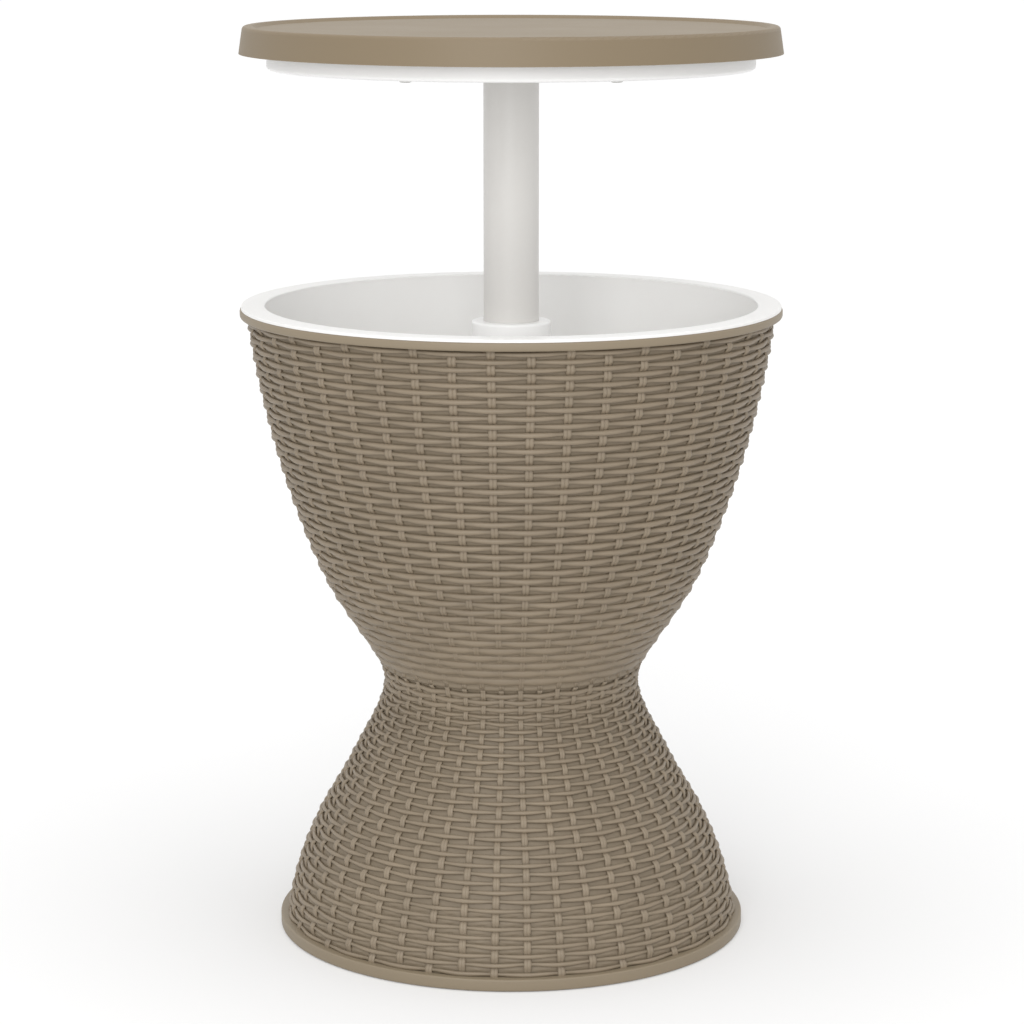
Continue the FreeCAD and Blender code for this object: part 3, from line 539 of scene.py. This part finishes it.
# Bowl wall: the skin behind the upper weave, with the floor that stands on the base's deck and the lip
# that carries the bucket. One injection moulding in the same brown polypropylene, whose lower edge is the
# upper half of the plain row over the joint.
BOWL_ROWS = {"top": 523.8, "drop": 293.4, "count": 42, "ease": 0.092, "start": 0}
BOWL_SKIN_IN = 4.4
SLIT_RISE = 1.6
BOWL_JOINT_SHARE = 0.7
BOWL_INSIDE_TOP = 515.0
BOWL_INSIDE_STEPS = 23
REGISTER_PLAY = 0.3
FLOOR_TOP = 231.0
LIP_BOTTOM = 524.0
LIP_R = 226.0
LIP_ROUND = 2.0
LEDGE_BOTTOM = 527.0
LEDGE_R = 208.3
RIM_Z = 531.0
FOOT_BAND_IN_R = 193.0
LIP_BAND_IN_R = 221.5
BAND_MARGIN = 0.5


def band_faces(thing, low, high, least_radius):
    """Puts the smooth band's own plastic on the faces of a band between two heights."""
    thing.data.materials.append(BAND_BROWN)
    for face in thing.data.polygons:
        middle = face.center / MM
        level_with_band = low - BAND_MARGIN < middle.z < high + BAND_MARGIN
        if level_with_band and math.hypot(middle.x, middle.y) > least_radius:
            face.material_index = 1


ring_in = REGISTER_IN_R - REGISTER_PLAY
ring_out = REGISTER_OUT_R + REGISTER_PLAY
ring_top = DECK_TOP + REGISTER_H + REGISTER_PLAY
bowl_outline = [(NECK_R, DECK_TOP), (ring_in, DECK_TOP), (ring_in, ring_top), (ring_out, ring_top)]
bowl_outline.append((ring_out, DECK_TOP + SEAM))
bowl_outline += joint_row(DECK_TOP + SEAM, JOINT_ROW_Z + BOWL_JOINT_SHARE * JOINT_ROW_HALF)
for row in reversed(range(BOWL_ROWS["count"])):
    z = row_height(BOWL_ROWS, row)
    bowl_outline.append(on_wall(z, SLIT_RISE * ramp(z, 350, 235) - BOWL_SKIN_IN))
bowl_outline.append((on_wall(LIP_BOTTOM, -BOWL_SKIN_IN)[0], LIP_BOTTOM))
bowl_outline += rounded((LIP_R - LIP_ROUND, LIP_BOTTOM + LIP_ROUND), LIP_ROUND, -90)
bowl_outline += rounded((LIP_R - LIP_ROUND, RIM_Z - LIP_ROUND), LIP_ROUND, 0)
bowl_outline += [(LEDGE_R, RIM_Z), (LEDGE_R, LEDGE_BOTTOM)]
bowl_outline.append((on_wall(LEDGE_BOTTOM, -WALL_IN)[0], LEDGE_BOTTOM))
for step in range(BOWL_INSIDE_STEPS + 1):
    z = BOWL_INSIDE_TOP - (BOWL_INSIDE_TOP - FLOOR_TOP) * step / BOWL_INSIDE_STEPS
    bowl_outline.append(on_wall(z, -WALL_IN))
bowl_outline[-1] = (bowl_outline[-1][0], FLOOR_TOP)
bowl_outline.append((NECK_R, FLOOR_TOP))
# The skin is painted darker than the strands and stakes of the same moulding: painted shade for the slits
# between them.
PAINTED_SHADE_BOWL_SKIN = plastic("bowl_skin_painted_shade", (0.229, 0.182, 0.125), (0.196, 0.155, 0.105),
                    grain=1400, depth=0.25, smooth=0.5, rough=0.66)
BAND_BROWN = plastic("band_brown", (0.258, 0.207, 0.14), (0.235, 0.186, 0.124),
                     grain=1300, depth=0.22, smooth=0.42, rough=0.56)
bowl_wall = piece("bowl_wall", turned(bowl_outline), "cooler", PAINTED_SHADE_BOWL_SKIN)
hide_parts("upper_shell")
band_faces(bowl_wall, LIP_BOTTOM, RIM_Z, LIP_BAND_IN_R)
band_faces(base_wall, 0, FOOT_BAND_H, FOOT_BAND_IN_R)


# Bowl weave: 42 rows of round cane and 44 pairs of upright canes, in the same plain weave as the base.
# The rows are fuller than the base's, and only a dark slit is left between them.
def waistward(z):
    """0 in the open part of the bowl and 1 at the waist, where its rows close up."""
    return ramp(z, 310, 235)


def bowl_strand_share(z):
    """Half a bowl strand's height as a share of its row's: the rows close up towards the waist."""
    return 0.305 + 0.15 * waistward(z)


def bowl_strand_reach(z):
    """How far a bowl strand swings in and out, in millimetres: less at the waist."""
    return 1.1 - 0.75 * waistward(z)


bowl_strands = strands(BOWL_ROWS, bowl_strand_share, half_depth=2.2, reach=bowl_strand_reach, dip=0.1)
piece("bowl_strands", bowl_strands, "cooler", STRAND_CANE, sharp=SMOOTH_ALL)
bowl_stakes = stakes(BOWL_ROWS, first=-0.9, last=41.85, level_row=42.0, apart=0.205)
piece("bowl_stakes", bowl_stakes, "cooler", STAKE_CANE, sharp=SMOOTH_ALL)


# Waist screws: four stainless screws, driven up from under the deck, that clamp base, bowl and bucket.
# Turned heads with a hexagon socket.
def brushed(name, colour, rough):
    """Turned stainless steel, its fine marks running round."""
    material, shader = new_material(name)
    tree = material.node_tree
    place = add_node(tree, "TexCoord")
    marks = add_node(tree, "TexNoise", Scale=700, Detail=6)
    wire(tree, place, "Object", marks, "Vector")
    spread = add_node(tree, "MapRange", To_Min=rough - 0.08, To_Max=rough + 0.14)
    wire(tree, marks, "Fac", spread, "Value")
    wire(tree, spread, 0, shader, "Roughness")
    tint = add_node(tree, "Mix")
    tint.data_type = "RGBA"
    tint.inputs[MIX_FIRST].default_value = (*colour, 1)
    tint.inputs[MIX_SECOND].default_value = tuple(0.82 * part for part in colour) + (1,)
    wire(tree, marks, "Fac", tint, 0)
    wire(tree, tint, MIX_RESULT, shader, "Base Color")
    bump = add_node(tree, "Bump", Strength=0.12, Distance=0.0001)
    wire(tree, marks, "Fac", bump, "Height")
    wire(tree, bump, 0, shader, "Normal")
    shader.inputs["Metallic"].default_value = 1
    return material


def dress(material, *names):
    """Puts a material on the slots of CAD nodes."""
    for name in names:
        data = nodes[name].data
        data.materials.clear()
        data.materials.append(material)


STEEL = brushed("stainless", (0.62, 0.61, 0.59), rough=0.3)
dress(STEEL, "waist_screws")


# Bucket: white polypropylene tub with a flat flange on the bowl's lip, a drain well in its floor and
# bosses for the waist screws. One moulding, smooth inside, with a soft gloss.
BUCKET_WHITE = plastic("bucket_white", (0.88, 0.873, 0.857), (0.86, 0.853, 0.837),
                       grain=420, depth=0.05, smooth=0.26, rough=0.4)
dress(BUCKET_WHITE, "bucket_liner")


# Guide column: white polypropylene tube with three rails in its bore, on which the lock's sleeve runs.
# Its foot ring is welded to the bucket's floor, and its lower end stands in the neck of both shells.
COLUMN_WHITE = plastic("column_white", (0.83, 0.825, 0.81), (0.80, 0.795, 0.78),
                       grain=420, depth=0.05, smooth=0.28, rough=0.42)
dress(COLUMN_WHITE, "guide_column")


# Drain: nylon spout and nut through the bucket's floor, a rubber gasket under the flange, and a rubber
# plug with a finger tab.
NYLON = plastic("nylon", (0.74, 0.735, 0.70), (0.69, 0.685, 0.64),
                grain=700, depth=0.1, smooth=0.34, rough=0.5)
RUBBER = plastic("rubber", (0.055, 0.055, 0.057), (0.035, 0.035, 0.036),
                 grain=1100, depth=0.3, smooth=0.62, rough=0.8)
dress(NYLON, "drain_spout", "drain_nut")
dress(RUBBER, "drain_gasket", "drain_plug")


# Twist lock: slit nylon sleeve on the column's rails, and the lobed cam that spreads it, held in the
# post by a cross pin. A washer and a screw keep the sleeve on the cam.
dress(NYLON, "lock_sleeve", "lock_cam")
dress(STEEL, "cam_pin", "cam_washer", "cam_screw")


# Collar: white cap with a rounded top edge that closes the column round the post, moulded in one with
# the bushing that guides the post.
COLLAR_WHITE = plastic("collar_white", (0.96, 0.955, 0.945), (0.945, 0.94, 0.93),
                       grain=420, depth=0.05, smooth=0.26, rough=0.4)
dress(COLLAR_WHITE, "column_collar")


# Post: white extruded tube that slides in the collar and carries the lid. A nylon flange is glued into
# its top and fixed to the lid with four screws.
POST_WHITE = plastic("post_white", (0.70, 0.683, 0.658), (0.675, 0.658, 0.632),
                     grain=380, depth=0.05, smooth=0.3, rough=0.42)
dress(POST_WHITE, "lift_post")
dress(NYLON, "post_flange")
dress(STEEL, "post_screws")


# Lid plug: white moulding under the top that dips into the bucket's mouth, with the trim ring that
# closes it round the post, held by six screws.
dress(COLLAR_WHITE, "lid_liner", "post_ring")
dress(STEEL, "lid_screws")


# Table top: brown moulding with a tapered skirt, a rolled rim and a shallow serving recess. Its grain is
# fine and satin.
LID_BROWN = plastic("lid_brown", (0.228, 0.176, 0.111), (0.212, 0.163, 0.102),
                    grain=1500, depth=0.16, smooth=0.44, rough=0.56, gloss=0.38)
dress(LID_BROWN, "table_top")


# Studio: pale floor that keeps a soft shadow, white surround for the camera, a broad soft lamp overhead
# and another high in front, and the camera at the photograph's viewing angle.
FLOOR_HALF = 40
FLOOR_DROP = 0.0005
CAMERA_TILT = 10.959


def seen_directly(tree):
    """1 for camera, glossy and transmission rays, 0 for the rays that light the object."""
    rays = add_node(tree, "LightPath")
    first = add_node(tree, "Math")
    first.operation = "MAXIMUM"
    wire(tree, rays, "Is Camera Ray", first, 0)
    wire(tree, rays, "Is Glossy Ray", first, 1)
    either = add_node(tree, "Math")
    either.operation = "MAXIMUM"
    wire(tree, first, 0, either, 0)
    wire(tree, rays, "Is Transmission Ray", either, 1)
    return either


def floor_paint():
    """Matt pale grey that also glows a little where it is seen directly, more so away from the object."""
    material, shader = new_material("floor_paint")
    tree = material.node_tree
    tree.nodes.remove(shader)
    away = add_node(tree, "VectorMath")
    away.operation = "LENGTH"
    wire(tree, add_node(tree, "TexCoord"), "Object", away, 0)
    fade = add_node(tree, "MapRange", From_Min=0.2, From_Max=2.2, To_Min=0.17, To_Max=0.36)
    wire(tree, away, "Value", fade, "Value")
    level = add_node(tree, "Math")
    level.operation = "MULTIPLY"
    wire(tree, seen_directly(tree), 0, level, 0)
    wire(tree, fade, 0, level, 1)
    paint = add_node(tree, "BsdfDiffuse", Color=(0.75, 0.75, 0.75, 1))
    glow = add_node(tree, "Emission")
    wire(tree, level, 0, glow, "Strength")
    both = add_node(tree, "AddShader")
    wire(tree, paint, 0, both, 0)
    wire(tree, glow, 0, both, 1)
    wire(tree, both, 0, tree.nodes["Material Output"], "Surface")
    return material


floor_mesh = bmesh.new()
bmesh.ops.create_grid(floor_mesh, x_segments=2, y_segments=2, size=FLOOR_HALF)
bmesh.ops.translate(floor_mesh, verts=floor_mesh.verts, vec=(0, 0, -FLOOR_DROP))
floor = linked("floor", floor_mesh)
floor.data.materials.append(floor_paint())

world = bpy.data.worlds.new("surround")
bpy.context.scene.world = world
world.use_nodes = True
sky = world.node_tree.nodes["Background"]
sky.inputs["Color"].default_value = (1, 1, 1, 1)
strength = add_node(world.node_tree, "MapRange", To_Min=0.87, To_Max=1.0)
wire(world.node_tree, seen_directly(world.node_tree), 0, strength, "Value")
wire(world.node_tree, strength, 0, sky, "Strength")


def softbox(name, place, aim, size, power):
    """Square lamp that looks from a place towards an aim."""
    lamp = bpy.data.lights.new(name, "AREA")
    lamp.shape = "SQUARE"
    lamp.size = size
    lamp.energy = power
    thing = bpy.data.objects.new(name, lamp)
    thing.location = place
    thing.rotation_euler = (Vector(aim) - Vector(place)).to_track_quat("-Z", "Y").to_euler()
    bpy.context.scene.collection.objects.link(thing)


softbox("overhead", place=(0, -0.4, 3.2), aim=(0, 0, 0.4), size=2.6, power=23)
softbox("front_fill", place=(-0.45, -3.5, 1.7), aim=(0, 0, 0.45), size=2.0, power=47)

camera_data = bpy.data.cameras.new("camera")
camera_data.lens = 113.65
camera_data.sensor_width = 36
camera_data.clip_end = 200
camera = bpy.data.objects.new("camera", camera_data)
camera.location = (0.00066, -2.682, 0.8749)
camera.rotation_euler = (math.radians(90 - CAMERA_TILT), 0, 0)
bpy.context.scene.collection.objects.link(camera)
bpy.context.scene.camera = camera
bpy.context.scene.view_settings.view_transform = "Standard"
